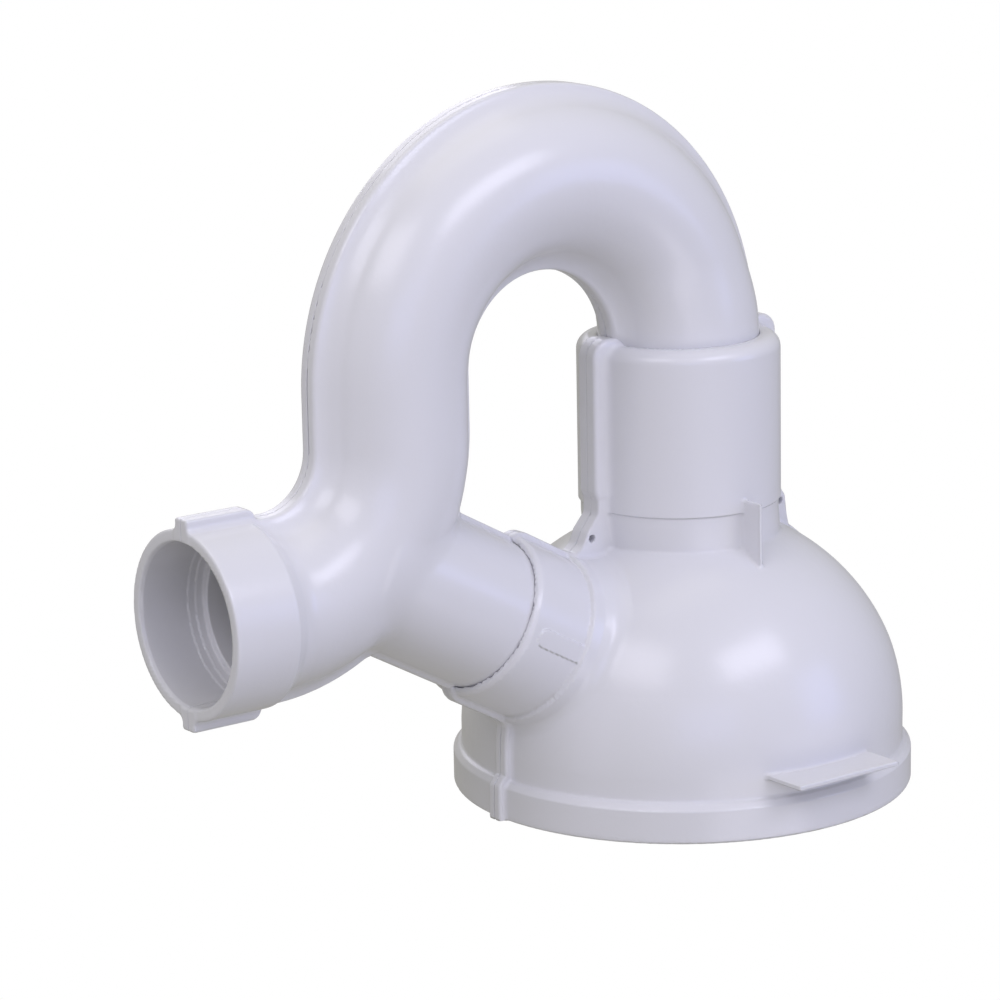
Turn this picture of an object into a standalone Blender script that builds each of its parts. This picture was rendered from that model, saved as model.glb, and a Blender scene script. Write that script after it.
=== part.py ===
"""Deep-seal floor-gully P-trap for a 50 mm waste pipe, standing on the rim of its hopper.

Four white PVC mouldings make the body: the hopper and the bend are each two shells that meet
on the XZ plane. A rodding plug with a rubber ring closes the arm from inside the hopper.
Frame: metres, +Z up, X along the seam plane with the outlet towards -X, front half towards -Y,
origin under the middle of the bounding box on the plane of the hopper's mouth.
"""
import math

import bmesh
import bpy
from mathutils import Matrix, Vector

MM = 0.001
GAP = 0.3 * MM            # clearance between pieces that touch
SEAM_GAP = 0.15 * MM      # each half stops this far from the seam plane
WELD = 0.00001            # merge distance for points that are the same point
TRIM = 2.0 * MM           # extra depth that is cut off flat at the mouth plane

# hopper, heights above the mouth plane
RIM_RADIUS = 74.8 * MM
RIM_HEIGHT = 12.4 * MM
WALL_RADIUS = 72.0 * MM
WALL_TOP = 20.0 * MM
DOME_HEIGHT = 69.5 * MM
NECK_RADIUS = 31.9 * MM
COLLAR_RADIUS = 32.7 * MM
COLLAR_BOTTOM = 93.6 * MM
COLLAR_TOP = 147.2 * MM
COLLAR_ROUND = 4.5 * MM
HOPPER_WALL = 3.0 * MM

# bend
TUBE_RADIUS = 24.7 * MM
BORE_RADIUS = 21.7 * MM
BEND_RADIUS = 57.25 * MM
CROWN_CENTRE = 146.6 * MM     # height where the half circle of the bend starts
SWEEP_RADIUS = 46.0 * MM      # from the long leg into the outlet
RIB_REACH = 4.5 * MM          # seam rib beyond the tube
RIB_HALF = 3.0 * MM           # half the seam rib's thickness
SPIGOT_END = 108.0 * MM
BEAD_RADIUS = 28.9 * MM
BEAD_LENGTH = 4.5 * MM

# outlet socket for the 50 mm pipe
OUTLET_HEIGHT = 84.0 * MM
OUTLET_REACH = 189.6 * MM     # hopper axis to socket face
SOCKET_RADIUS = 29.0 * MM
SOCKET_BORE = 25.1 * MM
SOCKET_LENGTH = 23.5 * MM
SOCKET_DEPTH = 22.0 * MM
SOCKET_RIB_REACH = 3.6 * MM

# rodding arm, distances along its axis from the outlet's axis
ARM_TILT = math.radians(29.0)
ARM_START = 108.5 * MM        # hopper axis to where the two axes cross
ARM_ROOT = 25.0 * MM          # the arm starts this far before that point, inside the sweep
ARM_RADIUS = 24.3 * MM
ARM_BORE = 21.5 * MM
ARM_RIB_REACH = 1.4 * MM
ARM_COLLAR_RADIUS = 26.9 * MM
ARM_COLLAR_START = 31.0 * MM
ARM_COLLAR_RIB_REACH = 1.8 * MM
ARM_FLARE_START = 55.5 * MM
ARM_FLARE_RADIUS = 31.0 * MM
ARM_SPIGOT_END = 54.0 * MM
ARM_SEAT = 75.0 * MM

# seam flanges of the hopper
COLLAR_FLANGE = 37.6 * MM     # reach from the hopper axis
COLLAR_FLANGE_HALF = 4.5 * MM
COLLAR_FLANGE_LOW = 99.5 * MM
EAR_HOLE_X = 39.1 * MM
EAR_HOLE_Z = 86.4 * MM
EAR_HOLE_RADIUS = 1.2 * MM
EAR_REACH = 45.8 * MM
WALL_RIB_REACH = 2.3 * MM
RIM_RIB_REACH = 2.2 * MM

# lugs on the outside of each hopper half
TAB_WIDTH = 41.0 * MM
TAB_REACH = 85.0 * MM
TAB_TOP = 20.4 * MM
TAB_THICK = 2.0 * MM
FIN_WIDTH = 1.6 * MM
FIN_REACH = 42.0 * MM
FIN_TOP = 98.0 * MM

# rodding plug, distances along the arm's axis
PLUG_RADIUS = 20.9 * MM
PLUG_INNER = 58.0 * MM
PLUG_WALL = 3.0 * MM
PLUG_FLANGE_RADIUS = 24.6 * MM
PLUG_FLANGE_THICK = 3.0 * MM
PLUG_BAR_WIDTH = 6.0 * MM
PLUG_BAR_DEPTH = 12.0 * MM
RING_CENTRE = 66.0 * MM
RING_SECTION = 1.5 * MM
RING_RADIUS = PLUG_RADIUS + 0.3 * MM - RING_SECTION
GROOVE_HALF = RING_SECTION + GAP
GROOVE_RADIUS = RING_RADIUS - RING_SECTION - GAP

HOPPER_X = (OUTLET_REACH - RIM_RADIUS - RIM_RIB_REACH) / 2
LEG_X = HOPPER_X - 2 * BEND_RADIUS
OUTLET_X = HOPPER_X - OUTLET_REACH
ARM_DIRECTION = Vector((math.cos(ARM_TILT), 0, -math.sin(ARM_TILT)))
ARM_NORMAL = Vector((math.sin(ARM_TILT), 0, math.cos(ARM_TILT)))
ARM_ORIGIN = Vector((HOPPER_X - ARM_START, 0, OUTLET_HEIGHT))
RUBBER_COLOUR = (0.025, 0.025, 0.028, 1)
PVC_COLOUR = (0.80, 0.80, 0.86, 1)
ROUND_STEPS = 48
TUBE_RESOLUTION = 10       # bevel resolution of a tube curve: 24 sides
REAR, FRONT = 1, -1


# ---- scene and collections -------------------------------------------------------------------

def clear_scene():
    for thing in list(bpy.data.objects):
        bpy.data.objects.remove(thing, do_unlink=True)


def make_collection(name):
    collection = bpy.data.collections.new(name)
    bpy.context.scene.collection.children.link(collection)
    return collection


def make_material(name, colour, roughness):
    material = bpy.data.materials.new(name)
    material.use_nodes = True
    shader = material.node_tree.nodes["Principled BSDF"]
    shader.inputs["Base Color"].default_value = colour
    shader.inputs["Roughness"].default_value = roughness
    shader.inputs["Metallic"].default_value = 0.0
    return material


# ---- mesh helpers ----------------------------------------------------------------------------

def add_object(name, data):
    thing = bpy.data.objects.new(name, data)
    WORKSHOP.objects.link(thing)
    return thing


def settle(thing):
    """Replace an object by the closed mesh it evaluates to, in world coordinates."""
    depsgraph = bpy.context.evaluated_depsgraph_get()
    depsgraph.update()
    mesh = bpy.data.meshes.new_from_object(thing.evaluated_get(depsgraph), depsgraph=depsgraph)
    mesh.transform(thing.matrix_world)
    cage = bmesh.new()
    cage.from_mesh(mesh)
    bmesh.ops.remove_doubles(cage, verts=cage.verts, dist=WELD)
    bmesh.ops.recalc_face_normals(cage, faces=cage.faces)
    cage.to_mesh(mesh)
    cage.free()
    name = thing.name
    bpy.data.objects.remove(thing, do_unlink=True)
    return add_object(name, mesh)


def combine(base, tools, operation):
    """Join or cut base with one tool after another, and use the tools up."""
    for tool in tools:
        step = base.modifiers.new(tool.name, 'BOOLEAN')
        step.operation = operation
        step.solver = 'EXACT'
        step.object = tool
        bpy.context.view_layer.update()
        base = settle(base)
        bpy.data.objects.remove(tool, do_unlink=True)
    return base


def turned(name, profile, place=Matrix.Identity(4), steps=ROUND_STEPS):
    """Turn a closed outline of (radius, height) points round local Z."""
    mesh = bpy.data.meshes.new(name)
    ring = [(i, (i + 1) % len(profile)) for i in range(len(profile))]
    edges = [(a, b) for a, b in ring if profile[a][0] > 0 or profile[b][0] > 0]
    mesh.from_pydata([(radius, 0, height) for radius, height in profile], edges, [])
    thing = add_object(name, mesh)
    screw = thing.modifiers.new("turn", 'SCREW')
    screw.steps = steps
    screw.render_steps = steps
    screw.use_merge_vertices = True
    screw.merge_threshold = WELD
    thing.matrix_world = place
    bpy.context.view_layer.update()
    return settle(thing)


def solid_profile(outline):
    """Close an outline of (radius, height) points along the axis."""
    return outline + [(0, outline[-1][1]), (0, outline[0][1])]


def tube(name, points, radius):
    """A round bar along points in the XZ plane."""
    curve = bpy.data.curves.new(name, 'CURVE')
    curve.dimensions = '3D'
    curve.bevel_depth = radius
    curve.bevel_resolution = TUBE_RESOLUTION
    curve.use_fill_caps = True
    curve.render_resolution_u = 0
    spline = curve.splines.new('POLY')
    spline.points.add(len(points) - 1)
    for point, (x, z) in zip(spline.points, points):
        point.co = (x, 0, z, 1)
    thing = add_object(name, curve)
    bpy.context.view_layer.update()
    return settle(thing)


def plate(name, outline, half_thickness):
    """A flat plate with its outline in the XZ plane, centred on the seam."""
    curve = bpy.data.curves.new(name, 'CURVE')
    curve.dimensions = '2D'
    curve.fill_mode = 'BOTH'
    curve.extrude = half_thickness
    curve.render_resolution_u = 0
    spline = curve.splines.new('POLY')
    spline.points.add(len(outline) - 1)
    spline.use_cyclic_u = True
    for point, (x, z) in zip(spline.points, outline):
        point.co = (x, z, 0, 1)
    thing = add_object(name, curve)
    thing.matrix_world = Matrix.Rotation(math.radians(90), 4, 'X')
    bpy.context.view_layer.update()
    return settle(thing)


def block(name, low, high):
    """A box between two corners."""
    bpy.ops.mesh.primitive_cube_add(size=1)
    thing = bpy.context.active_object
    thing.name = name
    size = [top - bottom for bottom, top in zip(low, high)]
    middle = [(top + bottom) / 2 for bottom, top in zip(low, high)]
    thing.data.transform(Matrix.Translation(middle) @ Matrix.Diagonal((*size, 1)))
    for collection in list(thing.users_collection):
        collection.objects.unlink(thing)
    WORKSHOP.objects.link(thing)
    return thing


def arc(centre, radius, start, end, steps):
    """Points (x, z) on an arc; angles in degrees from +X towards +Z."""
    angles = [math.radians(start + (end - start) * i / steps) for i in range(steps + 1)]
    return [(centre[0] + radius * math.cos(a), centre[1] + radius * math.sin(a)) for a in angles]


def along_arm(distance):
    """Local Z down the rodding arm, from a distance along its axis."""
    turn = Vector((0, 0, 1)).rotation_difference(ARM_DIRECTION).to_matrix().to_4x4()
    return Matrix.Translation(ARM_ORIGIN + ARM_DIRECTION * distance) @ turn


def arm_point(distance, offset):
    """A point (x, z) in the seam plane beside the arm's axis."""
    point = ARM_ORIGIN + ARM_DIRECTION * distance + ARM_NORMAL * offset
    return point.x, point.z


def mirrored(outline):
    """The same outline on the other side of the hopper's axis."""
    return [(2 * HOPPER_X - x, z) for x, z in reversed(outline)]


def finish_half(whole, name, side, material):
    """Keep the part of a whole moulding that lies on one side of the seam plane."""
    far, near = -0.2 * side, SEAM_GAP * side
    other_side = block("other_side", (-0.4, min(near, far), -0.1), (0.4, max(near, far), 0.4))
    half = add_object(name, whole.data.copy())
    half = combine(half, [other_side], 'DIFFERENCE')
    hand_over(half, material)


def hand_over(thing, material):
    """Shade a finished piece and move it to the object's own collection."""
    thing.data.materials.clear()
    thing.data.materials.append(material)
    thing.data.shade_smooth()
    thing.data.set_sharp_from_angle(angle=math.radians(30))
    WORKSHOP.objects.unlink(thing)
    TRAP.objects.link(thing)


# ---- hopper ----------------------------------------------------------------------------------

def dome_outline(inset, lowest_radius):
    """Elliptic dome from the wall's top up to a given radius, moved inwards by inset."""
    wide, high = WALL_RADIUS - inset, DOME_HEIGHT - inset
    end = math.degrees(math.acos(lowest_radius / wide))
    angles = [math.radians(end * i / 12) for i in range(13)]
    return [(wide * math.cos(a), WALL_TOP + high * math.sin(a)) for a in angles]


def hopper_outside():
    at_hopper = Matrix.Translation((HOPPER_X, 0, 0))
    lip = arc((COLLAR_RADIUS - COLLAR_ROUND, COLLAR_TOP - COLLAR_ROUND), COLLAR_ROUND, 0, 90, 4)
    outline = [(RIM_RADIUS, -TRIM), (RIM_RADIUS, RIM_HEIGHT - 2 * MM),
               (RIM_RADIUS - 1.2 * MM, RIM_HEIGHT - 0.4 * MM), (WALL_RADIUS, RIM_HEIGHT)]
    outline += dome_outline(0, NECK_RADIUS)
    outline += [(NECK_RADIUS, COLLAR_BOTTOM), (COLLAR_RADIUS, COLLAR_BOTTOM)] + lip
    return turned("hopper_outside", solid_profile(outline), at_hopper)


def arm_collar_outside():
    outline = [(ARM_COLLAR_RADIUS, ARM_COLLAR_START), (ARM_COLLAR_RADIUS, ARM_FLARE_START),
               (ARM_COLLAR_RADIUS + 1 * MM, ARM_FLARE_START + 2 * MM),
               (ARM_FLARE_RADIUS, ARM_FLARE_START + 8 * MM)]
    return turned("arm_collar", solid_profile(outline), along_arm(0))


def collar_flange_outline():
    """Seam flange of the neck collar, on the outlet's side of the hopper."""
    reach, top = HOPPER_X - COLLAR_FLANGE, COLLAR_TOP + 2.6 * MM
    corner = arc((reach + 6 * MM, top - 6 * MM), 6 * MM, 180, 90, 4)
    foot = arc((reach + 2 * MM, COLLAR_FLANGE_LOW + 2 * MM), 2 * MM, 270, 180, 2)
    inner = HOPPER_X - TUBE_RADIUS - GAP
    return foot + corner + [(inner, top), (inner, COLLAR_FLANGE_LOW)]


def ear_outline():
    """Web between the collar flange and the dome, which widens downwards past the ear's hole."""
    def at(reach, height):
        return HOPPER_X - reach, height * MM
    return [at(COLLAR_FLANGE - 1.3 * MM, 102), at(COLLAR_FLANGE - 1.1 * MM, 93.6),
            at(COLLAR_FLANGE + 3 * MM, 88.6), at(EAR_REACH - 0.1 * MM, 82.4),
            at(EAR_REACH + 1 * MM, 74), at(COLLAR_FLANGE, 66),
            at(NECK_RADIUS - 3 * MM, 72), at(NECK_RADIUS - 3 * MM, 102)]


def wall_rib_outline():
    """Seam rib up the dome, the wall and the rim, as a strip outside the shell."""
    outer = [(HOPPER_X - RIM_RADIUS - RIM_RIB_REACH, -TRIM),
             (HOPPER_X - RIM_RADIUS - RIM_RIB_REACH, RIM_HEIGHT + 1.5 * MM)]
    ribbed = dome_outline(-WALL_RIB_REACH, EAR_REACH)
    skin = dome_outline(HOPPER_WALL / 2, EAR_REACH)
    outer += [(HOPPER_X - r, z) for r, z in ribbed]
    inner = [(HOPPER_X - r, z) for r, z in reversed(skin)]
    return outer + inner + [(HOPPER_X - WALL_RADIUS + HOPPER_WALL / 2, -TRIM)]


def arm_collar_rib_outline():
    """Seam rib above and below the arm's collar."""
    reach = ARM_COLLAR_RADIUS + ARM_COLLAR_RIB_REACH
    start, end = ARM_COLLAR_START - 1 * MM, ARM_FLARE_START + 10 * MM
    inner = ARM_RADIUS + ARM_RIB_REACH + GAP
    return [arm_point(ARM_COLLAR_START, -reach), arm_point(end, -reach), arm_point(end, reach),
            arm_point(start, reach), arm_point(start, inner), arm_point(ARM_COLLAR_START, inner)]


def arm_web_outline():
    """Web that fills the notch between the arm's collar and the ear."""
    return [arm_point(47 * MM, ARM_COLLAR_RADIUS), arm_point(49 * MM, ARM_COLLAR_RADIUS + 3 * MM),
            (HOPPER_X - EAR_REACH - 1 * MM, 89 * MM), (HOPPER_X - EAR_REACH + 4 * MM, 91 * MM),
            (HOPPER_X - EAR_REACH + 6 * MM, 74 * MM), arm_point(66 * MM, ARM_COLLAR_RADIUS - 4 * MM)]


def hopper_lugs():
    """Flat tab over the rim and small fin under the collar, on both sides."""
    lugs = []
    for side in (FRONT, REAR):
        inner, tab_end = (WALL_RADIUS - 4 * MM) * side, TAB_REACH * side
        lugs.append(block("tab", (HOPPER_X - TAB_WIDTH / 2, min(inner, tab_end), TAB_TOP - TAB_THICK),
                          (HOPPER_X + TAB_WIDTH / 2, max(inner, tab_end), TAB_TOP)))
        inner, fin_end = (NECK_RADIUS - 2 * MM) * side, FIN_REACH * side
        lugs.append(block("fin", (HOPPER_X - FIN_WIDTH / 2, min(inner, fin_end), 75 * MM),
                          (HOPPER_X + FIN_WIDTH / 2, max(inner, fin_end), FIN_TOP)))
    return lugs


def hopper_hollow():
    """The space inside the hopper: mouth, dome, neck bore, bead chamber and tube sleeve."""
    at_hopper = Matrix.Translation((HOPPER_X, 0, 0))
    sleeve, chamber = TUBE_RADIUS + GAP, BEAD_RADIUS + GAP
    shelf = SPIGOT_END - GAP
    outline = [(WALL_RADIUS - HOPPER_WALL, -5 * MM), (WALL_RADIUS - HOPPER_WALL, WALL_TOP)]
    outline += dome_outline(HOPPER_WALL, BORE_RADIUS)[1:]
    outline += [(BORE_RADIUS, shelf), (chamber, shelf), (chamber, COLLAR_TOP - 6 * MM),
                (sleeve, COLLAR_TOP - 6 * MM), (sleeve, COLLAR_TOP + 5 * MM)]
    return turned("hopper_hollow", solid_profile(outline), at_hopper)


def plug_seat():
    """Boss inside the hopper whose flat end takes the rodding plug's flange."""
    radius = ARM_COLLAR_RADIUS - 0.6 * MM
    outline = [(radius, ARM_COLLAR_START + 20 * MM), (radius, ARM_SEAT)]
    return turned("plug_seat", solid_profile(outline), along_arm(0))


def arm_hollow():
    """Sleeve for the arm's spigot, then the bore that the plug closes."""
    sleeve, stop = ARM_RADIUS + GAP, ARM_SPIGOT_END + GAP
    outline = [(sleeve, ARM_COLLAR_START - 5 * MM), (sleeve, stop), (ARM_BORE, stop),
               (ARM_BORE, ARM_SEAT + 1 * MM)]
    return turned("arm_hollow", solid_profile(outline), along_arm(0))


def below_mouth():
    """Everything under the mouth plane, where the rim and its ribs are trimmed flat."""
    return block("below_mouth", (HOPPER_X - 0.1, -0.1, -0.02), (HOPPER_X + 0.1, 0.1, 0))


def ear_holes():
    holes = []
    for side in (-1, 1):
        bpy.ops.mesh.primitive_cylinder_add(
            vertices=16, radius=EAR_HOLE_RADIUS, depth=40 * MM,
            location=(HOPPER_X + side * EAR_HOLE_X, 0, EAR_HOLE_Z),
            rotation=(math.radians(90), 0, 0))
        hole = bpy.context.active_object
        hole.name = "ear_hole"
        hole.users_collection[0].objects.unlink(hole)
        WORKSHOP.objects.link(hole)
        bpy.context.view_layer.update()
        holes.append(settle(hole))
    return holes


def build_hopper():
    flange, ear, rib = collar_flange_outline(), ear_outline(), wall_rib_outline()
    plates = [plate("collar_flange", flange, COLLAR_FLANGE_HALF),
              plate("collar_flange", mirrored(flange), COLLAR_FLANGE_HALF),
              plate("ear", ear, RIB_HALF + 0.4 * MM), plate("ear", mirrored(ear), RIB_HALF + 0.4 * MM),
              plate("wall_rib", rib, RIB_HALF), plate("wall_rib", mirrored(rib), RIB_HALF),
              plate("arm_rib", arm_collar_rib_outline(), RIB_HALF - 0.2 * MM),
              plate("arm_web", arm_web_outline(), RIB_HALF + 0.2 * MM)]
    whole = combine(hopper_outside(), [arm_collar_outside()] + plates + hopper_lugs(), 'UNION')
    whole = combine(whole, [hopper_hollow(), below_mouth()], 'DIFFERENCE')
    whole = combine(whole, [plug_seat()], 'UNION')
    whole = combine(whole, [arm_hollow()] + ear_holes(), 'DIFFERENCE')
    finish_half(whole, "hopper_front_half", FRONT, PVC)
    finish_half(whole, "hopper_rear_half", REAR, PVC)
    bpy.data.objects.remove(whole, do_unlink=True)


# ---- bend ------------------------------------------------------------------------------------

def bend_route(start, end):
    """Centre line from a height inside the neck collar to an X inside the outlet socket."""
    crown = (HOPPER_X - BEND_RADIUS, CROWN_CENTRE)
    sweep = (LEG_X - SWEEP_RADIUS, OUTLET_HEIGHT + SWEEP_RADIUS)
    route = [(HOPPER_X, start)] + arc(crown, BEND_RADIUS, 0, 180, 18)
    return route + arc(sweep, SWEEP_RADIUS, 0, -90, 9) + [(end, OUTLET_HEIGHT)]


def bend_rib_outline():
    """Seam rib on both sides of the U bend, the long leg and the sweep."""
    reach = TUBE_RADIUS + RIB_REACH
    crown = (HOPPER_X - BEND_RADIUS, CROWN_CENTRE)
    sweep = (LEG_X - SWEEP_RADIUS, OUTLET_HEIGHT + SWEEP_RADIUS)
    low = COLLAR_TOP + 2.6 * MM + GAP
    end = OUTLET_X + SOCKET_LENGTH - 2 * MM
    outer = arc(crown, BEND_RADIUS + reach, 3, 180, 20)
    outer += arc(sweep, SWEEP_RADIUS - reach, 0, -90, 6) + [(end, OUTLET_HEIGHT + reach)]
    inner = [(end, OUTLET_HEIGHT - reach)] + arc(sweep, SWEEP_RADIUS + reach, -90, 0, 10)
    inner += arc(crown, BEND_RADIUS - reach, 180, 6, 14)
    return outer + inner, low


def arm_rib_outline():
    """Seam rib on the arm, which runs under the arm's collar."""
    reach = ARM_RADIUS + ARM_RIB_REACH
    end = ARM_COLLAR_START - 1 * MM - GAP
    start = -10 * MM
    return [arm_point(start, -reach), arm_point(end, -reach), arm_point(end, reach),
            arm_point(start, reach)]


def socket_place():
    """Local Z runs from the socket's face into the outlet."""
    return Matrix.Translation((OUTLET_X, 0, OUTLET_HEIGHT)) @ Matrix.Rotation(math.radians(90), 4, 'Y')


def socket_rib_outline():
    reach = SOCKET_RADIUS + SOCKET_RIB_REACH
    end = OUTLET_X + SOCKET_LENGTH
    return [(OUTLET_X, OUTLET_HEIGHT - reach), (end - 2 * MM, OUTLET_HEIGHT - reach),
            (end + 3 * MM, OUTLET_HEIGHT - TUBE_RADIUS), (end + 3 * MM, OUTLET_HEIGHT + TUBE_RADIUS),
            (end - 2 * MM, OUTLET_HEIGHT + reach), (OUTLET_X, OUTLET_HEIGHT + reach)]


def spigot_beads():
    """Two beads that hold the bend in the chamber of the neck collar."""
    beads = []
    top = COLLAR_TOP - 6 * MM - GAP
    for low in (SPIGOT_END, top - BEAD_LENGTH):
        outline = [(BEAD_RADIUS, low), (BEAD_RADIUS, low + BEAD_LENGTH)]
        beads.append(turned("bead", solid_profile(outline), Matrix.Translation((HOPPER_X, 0, 0))))
    return beads


def build_bend():
    rib, rib_low = bend_rib_outline()
    socket_end = OUTLET_X + SOCKET_LENGTH
    socket = [(SOCKET_RADIUS, 0), (SOCKET_RADIUS, SOCKET_LENGTH - 1 * MM),
              (TUBE_RADIUS + 1 * MM, SOCKET_LENGTH + 1 * MM), (TUBE_RADIUS - 1 * MM, SOCKET_LENGTH + 1 * MM)]
    arm = [(ARM_RADIUS, -ARM_ROOT), (ARM_RADIUS, ARM_SPIGOT_END)]
    below = block("below", (HOPPER_X - 0.04, -0.02, 0.05), (HOPPER_X + 0.04, 0.02, rib_low))
    rib_plate = combine(plate("bend_rib", rib, RIB_HALF), [below], 'DIFFERENCE')
    whole = tube("bend_outside", bend_route(SPIGOT_END + 1 * MM, socket_end - 5 * MM), TUBE_RADIUS)
    whole = combine(whole, [turned("socket", solid_profile(socket), socket_place()),
                            turned("arm", solid_profile(arm), along_arm(0)),
                            rib_plate,
                            plate("arm_rib", arm_rib_outline(), RIB_HALF - 0.3 * MM),
                            plate("socket_rib", socket_rib_outline(), RIB_HALF + 0.3 * MM)]
                    + spigot_beads(), 'UNION')
    bore_route = bend_route(SPIGOT_END - 5 * MM, OUTLET_X + SOCKET_DEPTH - 3 * MM)
    bore = tube("bend_bore", bore_route, BORE_RADIUS)
    socket_bore = [(SOCKET_BORE, -5 * MM), (SOCKET_BORE, SOCKET_DEPTH)]
    arm_bore = [(ARM_BORE, 1 * MM - ARM_ROOT), (ARM_BORE, ARM_SPIGOT_END + 5 * MM)]
    whole = combine(whole, [bore, turned("socket_bore", solid_profile(socket_bore), socket_place()),
                            turned("arm_bore", solid_profile(arm_bore), along_arm(0))], 'DIFFERENCE')
    finish_half(whole, "bend_front_half", FRONT, PVC)
    finish_half(whole, "bend_rear_half", REAR, PVC)
    bpy.data.objects.remove(whole, do_unlink=True)


# ---- rodding plug ----------------------------------------------------------------------------

def build_plug():
    """Cup with a groove for its ring, a flange on the seat and a grip bar across its mouth."""
    face = ARM_SEAT + GAP
    end = face + PLUG_FLANGE_THICK
    inside = PLUG_RADIUS - PLUG_WALL - 2 * MM
    outline = [(PLUG_RADIUS - 1 * MM, PLUG_INNER), (PLUG_RADIUS, PLUG_INNER + 1 * MM),
               (PLUG_RADIUS, RING_CENTRE - GROOVE_HALF), (GROOVE_RADIUS, RING_CENTRE - GROOVE_HALF),
               (GROOVE_RADIUS, RING_CENTRE + GROOVE_HALF), (PLUG_RADIUS, RING_CENTRE + GROOVE_HALF),
               (PLUG_RADIUS, face), (PLUG_FLANGE_RADIUS, face), (PLUG_FLANGE_RADIUS, end),
               (inside, end), (inside, PLUG_INNER + PLUG_WALL), (0, PLUG_INNER + PLUG_WALL),
               (0, PLUG_INNER)]
    cup = turned("rodding_plug", outline, Matrix(), 40)
    bar = block("grip_bar", (-PLUG_BAR_WIDTH / 2, -inside - 0.5 * MM, end - PLUG_BAR_DEPTH),
                (PLUG_BAR_WIDTH / 2, inside + 0.5 * MM, end))
    plug = combine(cup, [bar], 'UNION')
    plug.matrix_world = along_arm(0)
    hand_over(plug, PVC)


def build_ring():
    section = arc((RING_RADIUS, RING_CENTRE), RING_SECTION, 0, 315, 7)
    ring = turned("plug_seal_ring", section, Matrix(), 40)
    ring.matrix_world = along_arm(0)
    hand_over(ring, RUBBER)


clear_scene()
TRAP = make_collection("floor_gully_trap")
WORKSHOP = make_collection("workshop")
PVC = make_material("white_pvc", PVC_COLOUR, 0.35)
RUBBER = make_material("black_rubber", RUBBER_COLOUR, 0.7)
build_hopper()
build_bend()
build_plug()
build_ring()
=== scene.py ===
"""Visual model of the gully P trap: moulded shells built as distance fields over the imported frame."""
import math

import bpy
import numpy as np
from mathutils import Matrix, Vector


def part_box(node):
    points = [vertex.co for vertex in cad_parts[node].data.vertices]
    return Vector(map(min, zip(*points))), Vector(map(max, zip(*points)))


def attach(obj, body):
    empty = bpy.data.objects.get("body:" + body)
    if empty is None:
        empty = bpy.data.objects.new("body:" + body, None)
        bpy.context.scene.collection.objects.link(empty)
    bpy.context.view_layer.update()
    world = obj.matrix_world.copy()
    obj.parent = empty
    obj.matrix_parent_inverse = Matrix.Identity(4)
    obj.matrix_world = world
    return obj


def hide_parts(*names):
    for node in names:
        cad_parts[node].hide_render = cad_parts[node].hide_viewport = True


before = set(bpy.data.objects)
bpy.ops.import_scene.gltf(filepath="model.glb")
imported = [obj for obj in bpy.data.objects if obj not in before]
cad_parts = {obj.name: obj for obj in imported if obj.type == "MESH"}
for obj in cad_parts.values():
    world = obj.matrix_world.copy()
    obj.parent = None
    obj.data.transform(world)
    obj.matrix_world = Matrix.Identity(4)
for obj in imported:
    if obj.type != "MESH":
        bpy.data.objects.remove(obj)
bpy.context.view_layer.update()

MM = 0.001
SEAM = 0.04               # each shell stops this far from the seam plane
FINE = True

# Everything below is in mm and degrees or radians. HOPPER_X is the hopper's axis and OUTLET_X the
# face of the outlet socket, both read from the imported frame.
HOPPER_REACH = 77.0
HOPPER_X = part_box("hopper_front_half")[1].x / MM - HOPPER_REACH
OUTLET_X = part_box("bend_front_half")[0].x / MM

# hopper, heights above the mouth plane
RIM_RADIUS, RIM_HEIGHT, RIM_RIB = 74.8, 12.4, 2.1
WALL_RADIUS, WALL_TOP, WALL_RIB = 72.0, 20.0, 2.2
DOME_HEIGHT, RIB_TOP = 69.5, 84
DOME_LEAN, LEAN_RISE, LEAN_TOP, LEAN_FADE = 1.0, 25, 90, 10
NECK_RADIUS, COLLAR_RADIUS = 31.9, 32.7
COLLAR_BOTTOM, COLLAR_TOP, COLLAR_ROUND = 93.6, 147.2, 4.5
FLANGE_REACH, FLANGE_BOTTOM, FLANGE_ABOVE, FLANGE_HALF = 37.6, 99.0, 2.6, 4.5
EAR_HALF, EAR_HOLE_REACH, EAR_HOLE_HEIGHT, EAR_HOLE_RADIUS = 4.2, 39.1, 86.4, 1.2
TAB = (-22.3, 60, 18.7), (18.7, 84.8, 20.35)      # corners, from the hopper's axis
FIN = (-0.8, 25, 72), (0.8, 40.6, 98)
SHELL, CLEAR = 3.0, 9     # wall, and how far a hollow runs on past an opening

# bend
TUBE_RADIUS, BORE_RADIUS = 24.7, 21.7
NECK_FLARE, NECK_FLARE_TOP, NECK_FLARE_LENGTH = 1.1, 174.0, 22
BEND_RADIUS, CROWN_CENTRE, SWEEP_RADIUS = 57.25, 146.6, 46.0
RIB_REACH, RIB_HALF, RIB_FILLET, RIB_GAP = 4.4, 3.0, 7.0, 3.0
SPIGOT_END, BEAD_RADIUS, BEAD_LENGTH = 108.0, 28.9, 4.5
LEG_X = HOPPER_X - 2 * BEND_RADIUS

# outlet socket
OUTLET_HEIGHT, SOCKET_RADIUS, SOCKET_BORE = 84.0, 29.0, 25.1
SOCKET_LENGTH, SOCKET_DEPTH, SOCKET_RIB = 23.5, 22.0, 3.6

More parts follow.
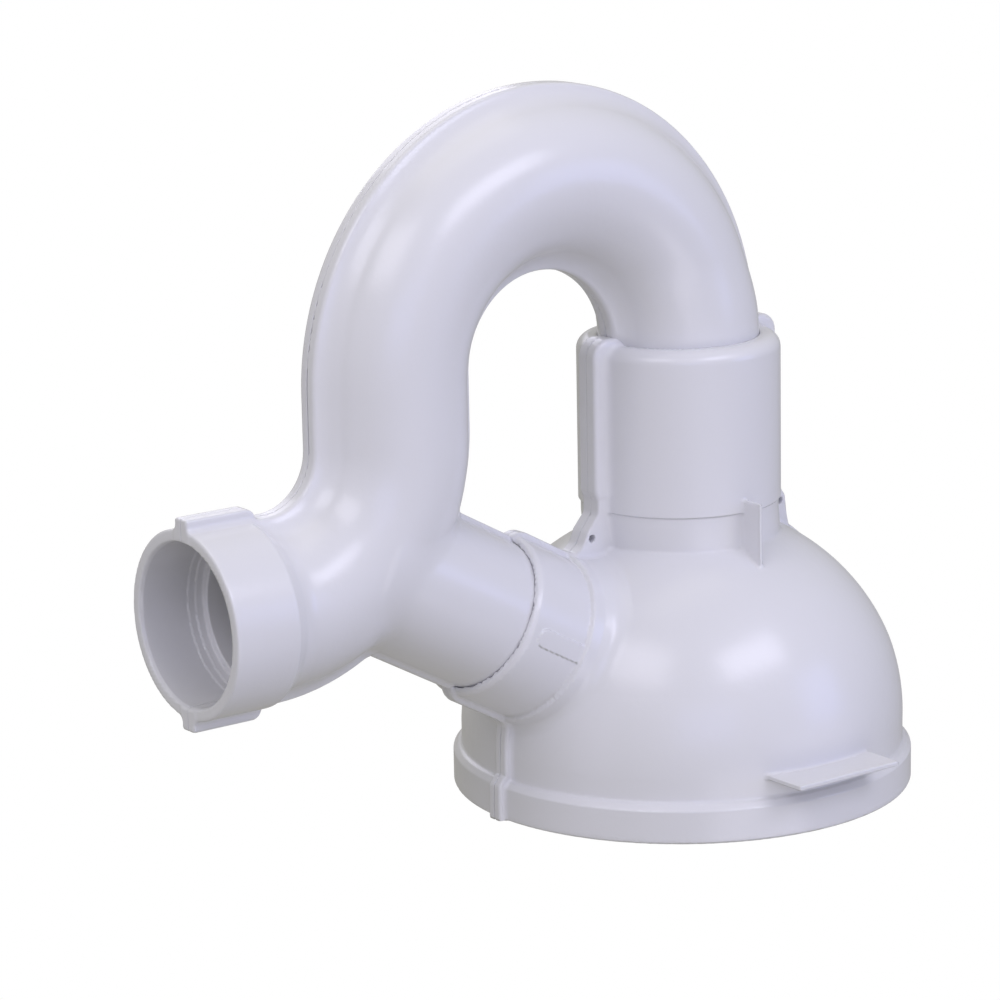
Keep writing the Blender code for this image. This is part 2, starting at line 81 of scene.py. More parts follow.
# rodding arm, distances along its axis from the outlet's axis
ARM_TILT, ARM_SETBACK = math.radians(29.0), 108.5
ARM_X = HOPPER_X - ARM_SETBACK
ARM_ROOT, ARM_RADIUS, ARM_BORE = -25.0, 24.3, 21.5
ARM_RIB, ARM_RIB_START = 1.4, -10
ARM_COLLAR_RADIUS, ARM_COLLAR_START, ARM_COLLAR_RIB = 26.9, 31.0, 1.8
ARM_FLARE, ARM_SPIGOT_END, ARM_SEAT = 53.5, 54.0, 75.0
BOSS_MIDDLE, BOSS_HALF = 65, 10
MARK_START, MARK_ANGLE, MARK_HALF, MARK_HEIGHT = 38.0, math.radians(-1.5), 3.0, 0.45

# plug, distances along the arm's axis
PLUG_RADIUS, PLUG_INNER, PLUG_WALL, PLUG_FLANGE, PLUG_THICK = 20.9, 58.0, 5, 24.6, 3.0
RING_CENTRE, RING_SECTION, RING_RADIUS = 66.0, 1.5, 19.7

ARM_MATRIX = (Matrix.Translation((ARM_X * MM, 0, OUTLET_HEIGHT * MM))
              @ Vector((0, 0, 1)).rotation_difference(
                  Vector((math.cos(ARM_TILT), 0, -math.sin(ARM_TILT)))).to_matrix().to_4x4())


# ---- distance fields -------------------------------------------------------------------------

def length(*parts):
    return np.sqrt(sum(part * part for part in parts))


def join(a, b, fillet):
    """Union of two fields with a round fillet where they meet."""
    return (np.maximum(fillet, np.minimum(a, b))
            - length(np.maximum(fillet - a, 0), np.maximum(fillet - b, 0)))


def meet(a, b, edge):
    """Intersection of two fields with a rounded edge."""
    return (np.minimum(-edge, np.maximum(a, b))
            + length(np.maximum(edge + a, 0), np.maximum(edge + b, 0)))


def rounded(corners, step=5):
    """A closed outline from corners (u, v, radius)."""
    outline = []
    for i, (u, v, radius) in enumerate(corners):
        corner = Vector((u, v))
        if radius == 0:
            outline.append((u, v))
            continue
        before = (Vector(corners[i - 1][:2]) - corner).normalized()
        after = (Vector(corners[(i + 1) % len(corners)][:2]) - corner).normalized()
        half = before.angle(after) / 2
        if half > math.radians(89.5):
            outline.append((u, v))
            continue
        centre = corner + (before + after).normalized() * (radius / math.sin(half))
        first = corner + before * (radius / math.tan(half)) - centre
        last = corner + after * (radius / math.tan(half)) - centre
        start = math.atan2(first.y, first.x)
        sweep = (math.atan2(last.y, last.x) - start + math.pi) % (2 * math.pi) - math.pi
        steps = max(2, math.ceil(abs(math.degrees(sweep)) / step))
        for k in range(steps + 1):
            angle = start + sweep * k / steps
            outline.append((centre.x + radius * math.cos(angle),
                            centre.y + radius * math.sin(angle)))
    return outline


class Outline:
    """Signed distance to a closed outline, looked up in a table."""

    def __init__(self, points, step=0.2, margin=14.0):
        points = np.array(points, float)
        self.low, self.step = points.min(0) - margin, step
        size = np.ceil((points.max(0) + margin - self.low) / step).astype(int) + 1
        u = (self.low[0] + step * np.arange(size[0]))[:, None]
        v = (self.low[1] + step * np.arange(size[1]))[None, :]
        nearest = np.full((size[0], size[1]), 1e9)
        inside = np.zeros((size[0], size[1]), bool)
        for (au, av), (bu, bv) in zip(points, np.roll(points, -1, 0)):
            du, dv = bu - au, bv - av
            share = np.clip(((u - au) * du + (v - av) * dv) / max(du * du + dv * dv, 1e-12), 0, 1)
            nearest = np.minimum(nearest, (u - au - share * du) ** 2 + (v - av - share * dv) ** 2)
            if av != bv:
                inside ^= ((v >= av) != (v >= bv)) & (u < au + (v - av) * du / dv)
        self.table = (np.sqrt(nearest) * np.where(inside, -1, 1)).astype(np.float32)

    def __call__(self, u, v):
        u, v = np.broadcast_arrays(u, v)
        p = np.clip((u - self.low[0]) / self.step, 0, self.table.shape[0] - 1.001)
        q = np.clip((v - self.low[1]) / self.step, 0, self.table.shape[1] - 1.001)
        i, j = p.astype(np.int32), q.astype(np.int32)
        p, q = p - i, q - j
        table = self.table
        return ((table[i, j] * (1 - p) + table[i + 1, j] * p) * (1 - q)
                + (table[i, j + 1] * (1 - p) + table[i + 1, j + 1] * p) * q)


# ---- outlines --------------------------------------------------------------------------------

DEEP = -60.0              # outlines of turned shapes run past their axis to here
FAR = 1e3                 # further than anything here
ROUTE_START = 60          # height where the bend's centre line starts, below its spigot


def dome(inset, lowest_radius, steps=160):
    """The dome's profile from the wall up to a radius, moved inwards."""
    wide, high = WALL_RADIUS - inset, DOME_HEIGHT - inset
    end = math.acos(lowest_radius / wide)
    angles = [end * i / steps for i in range(steps + 1)]
    return [(wide * math.cos(a), WALL_TOP + high * math.sin(a), 0) for a in angles]


def hopper_profile():
    corners = [(DEEP, 0, 0), (RIM_RADIUS, 0, 1.0), (RIM_RADIUS, RIM_HEIGHT - 1.7, 0.8),
               (RIM_RADIUS - 1.5, RIM_HEIGHT, 0.8), (WALL_RADIUS, RIM_HEIGHT + 0.5, 0.8)]
    corners += dome(0, NECK_RADIUS + 2)
    corners += [(NECK_RADIUS, dome(0, NECK_RADIUS)[-1][1], 1.2), (NECK_RADIUS, COLLAR_BOTTOM, 0.3),
                (COLLAR_RADIUS, COLLAR_BOTTOM + 0.3, 0.3),
                (COLLAR_RADIUS, COLLAR_TOP, COLLAR_ROUND), (DEEP, COLLAR_TOP, 0)]
    return Outline(rounded(corners))


def hollow_profile():
    """The water's way through the hopper, and the chamber that holds the bend's beads."""
    sleeve, chamber = TUBE_RADIUS + NECK_FLARE + 0.05, BEAD_RADIUS + 0.3
    shelf, ceiling, top = SPIGOT_END - 0.3, COLLAR_TOP - 6, COLLAR_TOP + CLEAR
    corners = [(DEEP, -CLEAR, 0), (WALL_RADIUS - SHELL, -CLEAR, 0)] + dome(SHELL, BORE_RADIUS)
    corners += [(BORE_RADIUS, shelf, 0.3), (chamber, shelf, 0.5), (chamber, ceiling, 0.5),
                (sleeve, ceiling, 0.3), (sleeve, top, 0), (DEEP, top, 0)]
    return Outline(rounded(corners))


def arm_collar_profile():
    """(radius, distance along the arm) of the collar and its flare into the dome."""
    r, s = ARM_COLLAR_RADIUS, ARM_COLLAR_START
    corners = [(DEEP, s, 0), (r - 0.9, s, 0.5), (r, s + 1.5, 1.2), (r, ARM_FLARE, 0.2),
               (r + 1.5, ARM_FLARE + 0.5, 0.5), (r + 1.9, ARM_FLARE + 4.5, 1.0),
               (r + 3.2, ARM_FLARE + 8, 0), (r + 5.0, ARM_FLARE + 12, 0),
               (r + 5.0, ARM_FLARE + 16, 0), (DEEP, ARM_FLARE + 16, 0)]
    return Outline(rounded(corners))


def arm_bore_profile():
    sleeve, stop = ARM_RADIUS + 0.03, ARM_SPIGOT_END + 0.3
    start, end = ARM_COLLAR_START - 5, ARM_SEAT + CLEAR
    return Outline(rounded([(DEEP, start, 0), (sleeve, start, 0), (sleeve, stop, 0.3),
                            (ARM_BORE, stop, 0.3), (ARM_BORE, end, 0), (DEEP, end, 0)]))


def collar_flange_outline():
    top = COLLAR_TOP + FLANGE_ABOVE
    return Outline(rounded([(DEEP, FLANGE_BOTTOM, 0), (FLANGE_REACH - 0.8, FLANGE_BOTTOM, 1.5),
                            (FLANGE_REACH, FLANGE_BOTTOM + 1.6, 1.5), (FLANGE_REACH, top, 6),
                            (DEEP, top, 0)]))


def left_ear_outline():
    """(reach, height) of the web from the collar's flange down to the arm's rib."""
    return Outline(rounded([(20, 104, 0), (36.2, 104, 0), (36.5, 93.6, 3), (40.8, 88.6, 4),
                            (42.6, 84.6, 4), (45.6, 82.2, 2), (48, 81.0, 0), (46, 66, 0),
                            (20, 66, 0)]))


def right_ear_outline():
    """(reach, height) of the web from the collar's flange down to the dome's rib."""
    return Outline(rounded([(20, 104, 0), (36.2, 104, 0), (36.5, 94.6, 3), (39.8, 90.6, 4),
                            (41.6, 88.0, 2), (42.2, 82.4, 2), (44, 74, 0), (38, 66, 0),
                            (20, 66, 0)]))


PROFILES = {}


def profile(make):
    """An outline's table, made once."""
    if make not in PROFILES:
        PROFILES[make] = make()
    return PROFILES[make]


# ---- the two mouldings -----------------------------------------------------------------------

def arm_axes(x, z):
    """Distance along the arm and height above its axis, in the seam plane."""
    dx, dz = x - ARM_X, z - OUTLET_HEIGHT
    cos, sin = math.cos(ARM_TILT), math.sin(ARM_TILT)
    return dx * cos - dz * sin, dx * sin + dz * cos


def plate(outline, y, half, edge):
    """A flat plate on the seam plane."""
    return meet(outline, np.abs(y) - half, edge)


def cuboid(x, y, z, low, high, edge):
    """A box with rounded edges."""
    away = [np.abs(p - (a + b) / 2) - (b - a) / 2 + edge for p, a, b in zip((x, y, z), low, high)]
    outside = length(*[np.maximum(d, 0) for d in away])
    return outside + np.minimum(np.maximum(np.maximum(away[0], away[1]), away[2]), 0) - edge


def hopper_field(x, y, z):
    x = x - HOPPER_X
    # the dome leans a little away from the outlet
    lean = DOME_LEAN * np.clip(np.minimum((z - WALL_TOP) / LEAN_RISE, (LEAN_TOP - z) / LEAN_FADE), 0, 1)
    q = length(x - lean, y)
    side = np.abs(x)
    along, above = arm_axes(x + HOPPER_X, z)
    arm_q = length(above, y)
    skin = profile(hopper_profile)
    solid = skin(q, z)
    # seam rib of the rim, the wall and the dome
    rib = skin(side, z) - np.where(z < RIM_HEIGHT + 1, RIM_RIB, WALL_RIB)
    rib = np.maximum(rib, z - RIB_TOP)
    solid = join(solid, plate(rib, y, RIB_HALF, 0.9), 1.2)
    # arm collar with its flare and rib
    collar = profile(arm_collar_profile)(arm_q, along)
    slant = ARM_COLLAR_START - 1.0 - along + (np.abs(above) - ARM_COLLAR_RADIUS + 1.2)
    arm_rib = meet(np.abs(above) - ARM_COLLAR_RADIUS - ARM_COLLAR_RIB, slant / math.sqrt(2), 1.5)
    arm_rib = np.maximum(arm_rib, along - ARM_FLARE - 10)
    collar = join(collar, plate(arm_rib, y, RIB_HALF - 0.2, 0.9), 1.4)
    solid = join(solid, collar, 2.0)
    # raised pad with a round end on the collar
    turn = (np.arctan2(above, np.abs(y)) - MARK_ANGLE) * ARM_COLLAR_RADIUS
    mark = length(np.maximum(MARK_START - along, 0), turn) - MARK_HALF
    mark = meet(mark, np.abs(arm_q - ARM_COLLAR_RADIUS) - MARK_HEIGHT, 0.3)
    solid = join(solid, np.maximum(mark, along - ARM_FLARE - 2), 0.2)
    # neck flange and ears
    flange = profile(collar_flange_outline)(side, z)
    solid = join(solid, plate(flange, y, FLANGE_HALF, 1.4), 1.6)
    ear = np.where(x < 0, profile(left_ear_outline)(-x, z), profile(right_ear_outline)(x, z))
    solid = join(solid, plate(ear, y, EAR_HALF, 0.8), 1.2)
    # tab and fin, the same on both halves
    depth = np.abs(y)
    solid = join(solid, cuboid(x, depth, z, *TAB, 0.45), 0.8)
    solid = join(solid, cuboid(x, depth, z, *FIN, 0.4), 0.9)
    # the space inside, with the boss that takes the plug
    hollow = profile(hollow_profile)(q, z)
    solid = meet(solid, -hollow, 0.7)
    boss = meet(arm_q - ARM_COLLAR_RADIUS + 0.6, np.abs(along - BOSS_MIDDLE) - BOSS_HALF, 0.6)
    boss = np.maximum(boss, hollow - 1.5)
    solid = join(solid, boss, 1.0)
    solid = meet(solid, -profile(arm_bore_profile)(arm_q, along), 0.1)
    holes = length(side - EAR_HOLE_REACH, z - EAR_HOLE_HEIGHT) - EAR_HOLE_RADIUS
    solid = meet(solid, -holes, 0.3)
    return np.maximum(solid, -z)


def route_distance(x, z):
    """Distance in the seam plane from the bend's centre line."""
    def straight(u, low, high, v):
        return length(u, np.maximum(np.maximum(low - v, v - high), 0))

    def curve(dx, dz, radius, near):
        return np.where(near, np.abs(length(dx, dz) - radius), FAR)
    crown_x, sweep_x = HOPPER_X - BEND_RADIUS, LEG_X - SWEEP_RADIUS
    sweep_z = OUTLET_HEIGHT + SWEEP_RADIUS
    on_sweep = (x >= sweep_x) & (z <= sweep_z)
    best = straight(x - HOPPER_X, ROUTE_START, CROWN_CENTRE, z)
    best = np.minimum(best, curve(x - crown_x, z - CROWN_CENTRE, BEND_RADIUS, z >= CROWN_CENTRE))
    best = np.minimum(best, straight(x - LEG_X, sweep_z, CROWN_CENTRE, z))
    best = np.minimum(best, curve(x - sweep_x, z - sweep_z, SWEEP_RADIUS, on_sweep))
    return np.minimum(best, straight(z - OUTLET_HEIGHT, OUTLET_X - 20, sweep_x, x))


def socket_profile():
    r, long = SOCKET_RADIUS, SOCKET_LENGTH
    return Outline(rounded([(DEEP, 0, 0), (r, 0, 0.9), (r, long - 1.5, 1.5),
                            (TUBE_RADIUS + 0.4, long + 4.5, 6), (TUBE_RADIUS - 2, long + 9, 0),
                            (DEEP, long + 9, 0)]))


def socket_bore_profile():
    return Outline(rounded([(DEEP, -9, 0), (SOCKET_BORE + 0.4, -9, 0), (SOCKET_BORE + 0.4, 0.4, 0),
                            (SOCKET_BORE, 1.4, 0), (SOCKET_BORE - 0.1, SOCKET_DEPTH - 5.2, 0.2),
                            (SOCKET_BORE - 0.4, SOCKET_DEPTH - 4.9, 0.2),
                            (SOCKET_BORE - 0.5, SOCKET_DEPTH - 2.8, 0.2),
                            (SOCKET_BORE - 0.9, SOCKET_DEPTH - 2.5, 0.2),
                            (SOCKET_BORE - 1.1, SOCKET_DEPTH, 0.4), (DEEP, SOCKET_DEPTH, 0)]))


def bend_field(x, y, z):
    from_route = route_distance(x, z)
    across = length(from_route, y)
    along, above = arm_axes(x, z)
    arm_q = length(above, y)
    in_socket = x - OUTLET_X
    socket_q = length(z - OUTLET_HEIGHT, y)
    # the tube widens a little towards the neck collar
    neck_side = x > HOPPER_X - BEND_RADIUS
    rise = np.clip((NECK_FLARE_TOP - z) / NECK_FLARE_LENGTH, 0, 1) * neck_side
    tube = across - TUBE_RADIUS - NECK_FLARE * rise * rise * (3 - 2 * rise)
    solid = np.maximum(tube, SPIGOT_END - z - FAR * (x < HOPPER_X - 40))
    # seam rib of the bend, which stops at the collar
    edge = np.maximum(from_route - TUBE_RADIUS - RIB_REACH, -in_socket)
    low = np.where(neck_side, COLLAR_TOP + RIB_GAP - z, -1)
    rib = plate(np.maximum(edge, low), y, RIB_HALF, 0.8)
    solid = join(solid, rib, RIB_FILLET)
    solid = meet(solid, from_route - TUBE_RADIUS - RIB_REACH, 1.0)
    solid = np.maximum(solid, 4 - in_socket)
    # outlet socket
    socket = profile(socket_profile)(socket_q, in_socket)
    bar = np.abs(z - OUTLET_HEIGHT) - SOCKET_RADIUS - SOCKET_RIB
    bar = meet(bar, in_socket - SOCKET_LENGTH - 1, 3.5)
    socket = join(socket, plate(bar, y, RIB_HALF + 0.3, 0.9), 2.0)
    solid = join(solid, meet(socket, -in_socket, 0.7), 1.5)
    # rodding arm
    arm = meet(arm_q - ARM_RADIUS, np.maximum(along - ARM_SPIGOT_END, ARM_ROOT - along), 0.5)
    arm_rib = np.maximum(np.abs(above) - ARM_RADIUS - ARM_RIB,
                         np.maximum(along - ARM_COLLAR_START + 1.3, ARM_RIB_START - along))
    arm = join(arm, plate(arm_rib, y, RIB_HALF - 0.3, 0.8), 2.0)
    solid = join(solid, arm, 2.5)
    # beads inside the neck collar
    neck_q = length(x - HOPPER_X, y)
    for middle in (SPIGOT_END + BEAD_LENGTH / 2, COLLAR_TOP - 6.3 - BEAD_LENGTH / 2):
        bead = meet(neck_q - BEAD_RADIUS, np.abs(z - middle) - BEAD_LENGTH / 2, 0.8)
        solid = join(solid, bead, 0.5)
    # bores
    solid = meet(solid, -(across - BORE_RADIUS), 0.5)
    solid = meet(solid, -profile(socket_bore_profile)(socket_q, in_socket), 0.4)
    bore = np.maximum(arm_q - ARM_BORE, ARM_ROOT + 1 - along)
    return meet(solid, -bore, 0.5)


# ---- field to mesh ---------------------------------------------------------------------------

def ticks(low, high, step, *finer):
    """Grid lines from low to high; each finer stretch is (low, high, step)."""
    lines, at = [], low
    while at < high:
        lines.append(at)
        here = [s for a, b, s in finer if a - 1e-6 <= at < b - 1e-6]
        at += min(here + [step])
    return np.array(lines + [high])


def sample(field, xs, ys, zs, block=12):
    """Field values on a grid, worked out line by line only in blocks near the surface."""
    spans = [[(i, min(i + block, len(lines) - 1)) for i in range(0, len(lines) - 1, block)]
             for lines in (xs, ys, zs)]
    middles = [np.array([(lines[a] + lines[b]) / 2 for a, b in span])
               for lines, span in zip((xs, ys, zs), spans)]
    halves = [np.array([(lines[b] - lines[a]) / 2 for a, b in span])
              for lines, span in zip((xs, ys, zs), spans)]

    def open_grid(parts):
        return parts[0][:, None, None], parts[1][None, :, None], parts[2][None, None, :]
    middle, reach = field(*open_grid(middles)), 1.5 * length(*open_grid(halves))
    values = np.empty((len(xs), len(ys), len(zs)), np.float32)
    near = []
    for i, (a, b) in enumerate(spans[0]):
        for j, (c, d) in enumerate(spans[1]):
            for k, (e, f) in enumerate(spans[2]):
                if abs(middle[i, j, k]) > reach[i, j, k]:
                    values[a:b + 1, c:d + 1, e:f + 1] = middle[i, j, k]
                else:
                    near.append(tuple(slice(p, q + 1) for p, q in ((a, b), (c, d), (e, f))))
    for cut in near:
        values[cut] = field(*open_grid([lines[part] for lines, part in zip((xs, ys, zs), cut)]))
    return values


def surface(field, xs, ys, zs):
    """Surface nets over a grid: points and quads of the field's zero surface."""
    values = sample(field, xs, ys, zs)
    axes, shape = (xs, ys, zs), np.array(values.shape)
    stride = np.array([shape[1] * shape[2], shape[2], 1])
    owners, places, quads = [], [], []
    for axis in range(3):
        u, v = (axis + 1) % 3, (axis + 2) % 3
        first = values[tuple(slice(0, -1) if k == axis else slice(None) for k in range(3))]
        second = values[tuple(slice(1, None) if k == axis else slice(None) for k in range(3))]
        index = np.argwhere((first < 0) != (second < 0))
        a, b = first[tuple(index.T)], second[tuple(index.T)]
        place = np.stack([axes[k][index[:, k]] for k in range(3)], 1)
        lines = axes[axis]
        place[:, axis] += a / (a - b) * (lines[index[:, axis] + 1] - lines[index[:, axis]])
        cell = index @ stride
        ring = [cell - stride[u] - stride[v], cell - stride[v], cell, cell - stride[u]]
        for c in ring:
            owners.append(c)
            places.append(place)
        quad = np.stack(ring, 1)
        quads.append(np.where((a < 0)[:, None], quad, quad[:, ::-1]))
    cells, corner = np.unique(np.concatenate(owners), return_inverse=True)
    places = np.concatenate(places)
    count = np.bincount(corner)
    points = np.stack([np.bincount(corner, places[:, k]) / count for k in range(3)], 1)
    return points, np.searchsorted(cells, np.concatenate(quads))


def slopes(field, points, reach=0.15):
    """Field values, gradients and the gradients' sizes at points."""
    x, y, z = points.T
    rises = []
    for k in range(3):
        step = [reach if k == j else 0.0 for j in range(3)]
        rises.append(field(x + step[0], y + step[1], z + step[2])
                     - field(x - step[0], y - step[1], z - step[2]))
    gradient = np.stack(rises, 1) / (2 * reach)
    size = np.linalg.norm(gradient, axis=1, keepdims=True)
    return field(x, y, z), gradient, np.maximum(size, 1e-6)


def settle(field, points, rounds=3, most=0.5):
    """Move points onto the field's zero surface and return them with their normals."""
    for _ in range(rounds):
        value, gradient, size = slopes(field, points)
        points = points - gradient / size * np.clip(value[:, None] / size, -most, most)
    _, gradient, size = slopes(field, points)
    return points, gradient / size


def make_mesh(name, points, quads, normals):
    mesh = bpy.data.meshes.new(name)
    mesh.vertices.add(len(points))
    mesh.vertices.foreach_set("co", (points * MM).astype(np.float32).ravel())
    mesh.loops.add(quads.size)
    mesh.loops.foreach_set("vertex_index", quads.astype(np.int32).ravel())
    mesh.polygons.add(len(quads))
    mesh.polygons.foreach_set("loop_start", np.arange(0, quads.size, 4, dtype=np.int32))
    mesh.update()
    mesh.validate()
    mesh.shade_smooth()
    mesh.normals_split_custom_set_from_vertices(normals.astype(np.float32))
    thing = bpy.data.objects.new(name, mesh)
    bpy.context.scene.collection.objects.link(thing)
    return thing


def make_shells(front_name, rear_name, field, xs, ys, zs):
    """The front shell from the field, and the rear one as its mirror image."""
    def front(x, y, z):
        return meet(field(x, y, z), y + SEAM, 0.1)
    points, quads = surface(front, xs, ys, zs)
    points, normals = settle(front, points)
    flip = np.array([1, -1, 1])
    return (make_mesh(front_name, points, quads, normals),
            make_mesh(rear_name, points * flip, quads[:, ::-1], normals * flip))


# grid steps, finer at the seam, the rim, the tab, the arm collar, the neck and the socket
HOPPER_STEP = 1.12 if FINE else 1.8
BEND_STEP = 0.93 * HOPPER_STEP
SEAM_LINES = (-5, -1.0, 0.6), (-1.0, 0.6, 0.25)
HOPPER_PIECES = make_shells(
    "hopper_front_shell", "hopper_rear_shell", hopper_field,
    ticks(HOPPER_X - 98, HOPPER_X + 80, HOPPER_STEP, (HOPPER_X - 82, HOPPER_X - 50, 0.7)),
    ticks(-88, 1.0, HOPPER_STEP, *SEAM_LINES),
    ticks(-3, 153, HOPPER_STEP, (9, 22, 0.6), (54, 72, 0.6), (91, 97, 0.5)))
BEND_PIECES = make_shells(
    "bend_front_shell", "bend_rear_shell", bend_field,
    ticks(OUTLET_X - 3, HOPPER_X + 34, BEND_STEP, (OUTLET_X - 3, OUTLET_X + 3, 0.5),
          (OUTLET_X + 14, OUTLET_X + 28, 0.6)),
    ticks(-33, 1.0, BEND_STEP, *SEAM_LINES),
    ticks(32, 236, BEND_STEP))


# ---- plug and ring ---------------------------------------------------------------------------

def plug_field(x, y, z):
    """The plug in its own frame: z along the arm."""
    q = length(x, y)
    face = ARM_SEAT + 0.3
    end, inside = face + PLUG_THICK, PLUG_RADIUS - PLUG_WALL
    groove = RING_SECTION + 0.3
    cup = meet(q - PLUG_RADIUS, np.abs(z - (PLUG_INNER + end) / 2) - (end - PLUG_INNER) / 2, 0.8)
    flange = meet(q - PLUG_FLANGE, np.abs(z - (face + end) / 2) - PLUG_THICK / 2, 0.8)
    solid = join(cup, flange, 0.3)
    ring_room = np.maximum(np.abs(z - RING_CENTRE) - groove, RING_RADIUS - groove - q)
    solid = meet(solid, -ring_room, 0.3)
    pocket = meet(q - inside, PLUG_INNER + 3 - z, 2.0)
    solid = meet(solid, -pocket, 0.9)
    bar = cuboid(x, y, z, (-3, -inside - 1, end - 12), (3, inside + 1, end), 1.4)
    return join(solid, bar, 1.2)


def make_plug():
    across = ticks(-27, 27, 0.9 if FINE else 1.5)
    points, quads = surface(plug_field, across, across, ticks(55, 81, 0.7))
    points, normals = settle(plug_field, points)
    plug = make_mesh("plug_body", points, quads, normals)
    plug.matrix_world = ARM_MATRIX
    return plug


def make_ring():
    bpy.ops.mesh.primitive_torus_add(major_segments=96, minor_segments=24,
                                     major_radius=RING_RADIUS * MM,
                                     minor_radius=(RING_SECTION - 0.02) * MM)
    ring = bpy.context.active_object
    ring.name = ring.data.name = "seal_ring"
    ring.data.shade_smooth()
    ring.matrix_world = ARM_MATRIX @ Matrix.Translation((0, 0, RING_CENTRE * MM))
    return ring


PLUG, RING = make_plug(), make_ring()


# ---- materials -------------------------------------------------------------------------------

def new_material(name):
    material = bpy.data.materials.new(name)
    material.use_nodes = True
    return material, material.node_tree.nodes, material.node_tree.links


def noise(nodes, links, place, scale, detail):
    node = nodes.new("ShaderNodeTexNoise")
    node.inputs["Scale"].default_value = scale
    node.inputs["Detail"].default_value = detail
    links.new(place, node.inputs["Vector"])
    return node.outputs["Fac"]


def spread(nodes, links, value, low, high, to_low, to_high):
    """A value moved from one range to another."""
    node = nodes.new("ShaderNodeMapRange")
    for key, number in (("From Min", low), ("From Max", high), ("To Min", to_low), ("To Max", to_high)):
        node.inputs[key].default_value = number
    links.new(value, node.inputs["Value"])
    return node.outputs["Result"]


def pvc_material():
    """Satin moulded PVC: cool white, with a faint change of tint and gloss and a fine skin."""
    material, nodes, links = new_material("white_pvc_moulded")
    shader = nodes["Principled BSDF"]
    place = nodes.new("ShaderNodeTexCoord").outputs["Object"]
    ramp = nodes.new("ShaderNodeValToRGB")
    ramp.color_ramp.elements[0].color = (0.725, 0.722, 0.745, 1)
    ramp.color_ramp.elements[1].color = (0.735, 0.732, 0.757, 1)
    links.new(noise(nodes, links, place, 22, 4), ramp.inputs["Fac"])
    links.new(ramp.outputs["Color"], shader.inputs["Base Color"])
    roughness = spread(nodes, links, noise(nodes, links, place, 60, 6), 0.3, 0.7, 0.22, 0.25)
    links.new(roughness, shader.inputs["Roughness"])
    shader.inputs["Specular IOR Level"].default_value = 0.5
    bump = nodes.new("ShaderNodeBump")
    bump.inputs["Strength"].default_value = 0.25
    bump.inputs["Distance"].default_value = 0.0002
    links.new(noise(nodes, links, place, 300, 3), bump.inputs["Height"])
    links.new(bump.outputs["Normal"], shader.inputs["Normal"])
    return material


def rubber_material():
    """Dull black rubber."""
    material, nodes, links = new_material("ring_rubber")
    shader = nodes["Principled BSDF"]
    place = nodes.new("ShaderNodeTexCoord").outputs["Object"]
    shader.inputs["Base Color"].default_value = (0.02, 0.02, 0.022, 1)
    links.new(spread(nodes, links, noise(nodes, links, place, 400, 4), 0.3, 0.7, 0.55, 0.75),
              shader.inputs["Roughness"])
    return material


def dress(piece, material, body, node):
    piece.data.materials.clear()
    piece.data.materials.append(material)
    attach(piece, body)
    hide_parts(node)


PVC, RUBBER = pvc_material(), rubber_material()
SHELL_NODES = "hopper_front_half", "hopper_rear_half", "bend_front_half", "bend_rear_half"
for shell, cad_node in zip(HOPPER_PIECES + BEND_PIECES, SHELL_NODES):
    dress(shell, PVC, "trap", cad_node)
dress(PLUG, PVC, "plug", "rodding_plug")
dress(RING, RUBBER, "plug", "plug_seal_ring")


# ---- floor, light, camera --------------------------------------------------------------------

FLOOR_HALF, FLOOR_LEVEL = 4, -0.0003                       # metres
AIM, LIGHT_DISTANCE = Vector((0, 0, 0.1)), 1.5


def make_floor():
    """An evenly white floor that neither lights nor shades the trap."""
    mesh = bpy.data.meshes.new("floor")
    corners = [(FLOOR_HALF * i, FLOOR_HALF * j, FLOOR_LEVEL)
               for i, j in ((-1, -1), (1, -1), (1, 1), (-1, 1))]
    mesh.from_pydata(corners, [], [(0, 1, 2, 3)])
    floor = bpy.data.objects.new("floor", mesh)
    bpy.context.scene.collection.objects.link(floor)
    material, nodes, _ = new_material("floor_white")
    shader = nodes["Principled BSDF"]
    shader.inputs["Base Color"].default_value = (0, 0, 0, 1)
    shader.inputs["Roughness"].default_value = 1.0
    shader.inputs["Specular IOR Level"].default_value = 0.0
    shader.inputs["Emission Color"].default_value = (1, 1, 1, 1)
    shader.inputs["Emission Strength"].default_value = 1.0
    floor.visible_diffuse = floor.visible_glossy = floor.visible_shadow = False
    mesh.materials.append(material)


# name, azimuth and elevation in degrees, (width, height) in metres, watts, colour
LIGHTS = [("key", 10, 40, (0.95, 0.42), 7.05, (0.82, 0.81, 1.0)),
          ("left_high", -67, 42, (0.8, 0.6), 5.2, (0.89, 0.87, 1.0)),
          ("left_wall", -85, 0, (0.6, 1.2), 1.4, (0.74, 0.73, 1.0)),
          ("front", -25, 12, (0.8, 0.5), 1.7, (0.42, 0.47, 1.0)),
          ("front_right", 40, 10, (0.6, 0.6), 2.9, (0.38, 0.45, 1.0)),
          ("top", 180, 80, (1.1, 1.1), 3.8, (1.0, 0.95, 0.86)),
          ("low", 0, -25, (1.2, 0.5), 3.2, (0.92, 0.89, 1.0)),
          ("back", 165, 30, (1.0, 0.8), 5.0, (0.84, 0.83, 1.0))]


def direction(azimuth, elevation):
    """Unit vector from the trap; azimuth runs from the front (-Y) to the right."""
    return Vector((math.sin(azimuth) * math.cos(elevation),
                   -math.cos(azimuth) * math.cos(elevation), math.sin(elevation)))


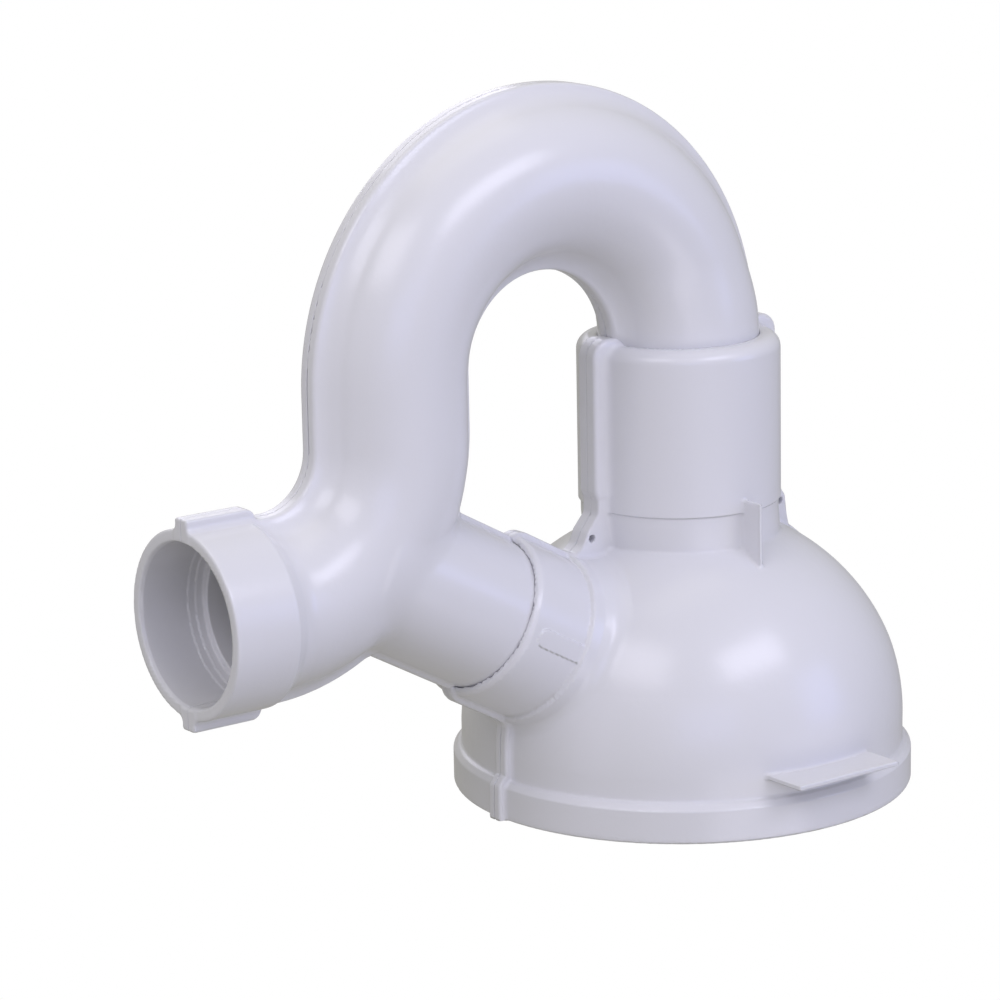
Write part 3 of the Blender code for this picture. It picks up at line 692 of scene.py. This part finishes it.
def make_light(name, azimuth, elevation, size, power, colour):
    """A soft box aimed at the trap."""
    away = direction(math.radians(azimuth), math.radians(elevation))
    data = bpy.data.lights.new(name, 'AREA')
    data.shape = 'RECTANGLE'
    data.size, data.size_y, data.energy, data.color = size[0], size[1], power, colour
    light = bpy.data.objects.new(name, data)
    bpy.context.scene.collection.objects.link(light)
    light.location = AIM + LIGHT_DISTANCE * away
    light.rotation_euler = away.to_track_quat('Z', 'Y').to_euler()


def make_world():
    """Even studio light, a little weaker from below."""
    world = bpy.data.worlds.new("studio")
    world.use_nodes = True
    nodes, links = world.node_tree.nodes, world.node_tree.links
    split = nodes.new("ShaderNodeSeparateXYZ")
    links.new(nodes.new("ShaderNodeTexCoord").outputs["Generated"], split.inputs["Vector"])
    ramp = nodes.new("ShaderNodeValToRGB")
    ramp.color_ramp.elements[0].color = (0.348, 0.339, 0.307, 1)
    ramp.color_ramp.elements[1].color = (0.427, 0.426, 0.394, 1)
    links.new(spread(nodes, links, split.outputs["Z"], -0.3, 0.3, 0, 1), ramp.inputs["Fac"])
    links.new(ramp.outputs["Color"], nodes["Background"].inputs["Color"])
    bpy.context.scene.world = world


def make_camera():
    """The photograph's view: its angles, lens and distance."""
    roll, distance = math.radians(-1.115), 1.24355
    back = direction(math.radians(-36.62), math.radians(13.56))
    right = (-back).cross(Vector((0, 0, 1))).normalized()
    up = right.cross(-back)
    right, up = (math.cos(roll) * right + math.sin(roll) * up,
                 math.cos(roll) * up - math.sin(roll) * right)
    data = bpy.data.cameras.new("camera")
    data.sensor_width = 36
    data.lens = 143.57
    camera = bpy.data.objects.new("camera", data)
    bpy.context.scene.collection.objects.link(camera)
    matrix = Matrix((right, up, back)).transposed().to_4x4()
    target = Vector(((HOPPER_X - 72.24) * MM, 0, 103.63 * MM))
    matrix.translation = target + back * distance
    camera.matrix_world = matrix
    bpy.context.scene.camera = camera


make_floor()
make_world()
for box in LIGHTS:
    make_light(*box)
make_camera()
bpy.context.scene.view_settings.view_transform = 'Standard'
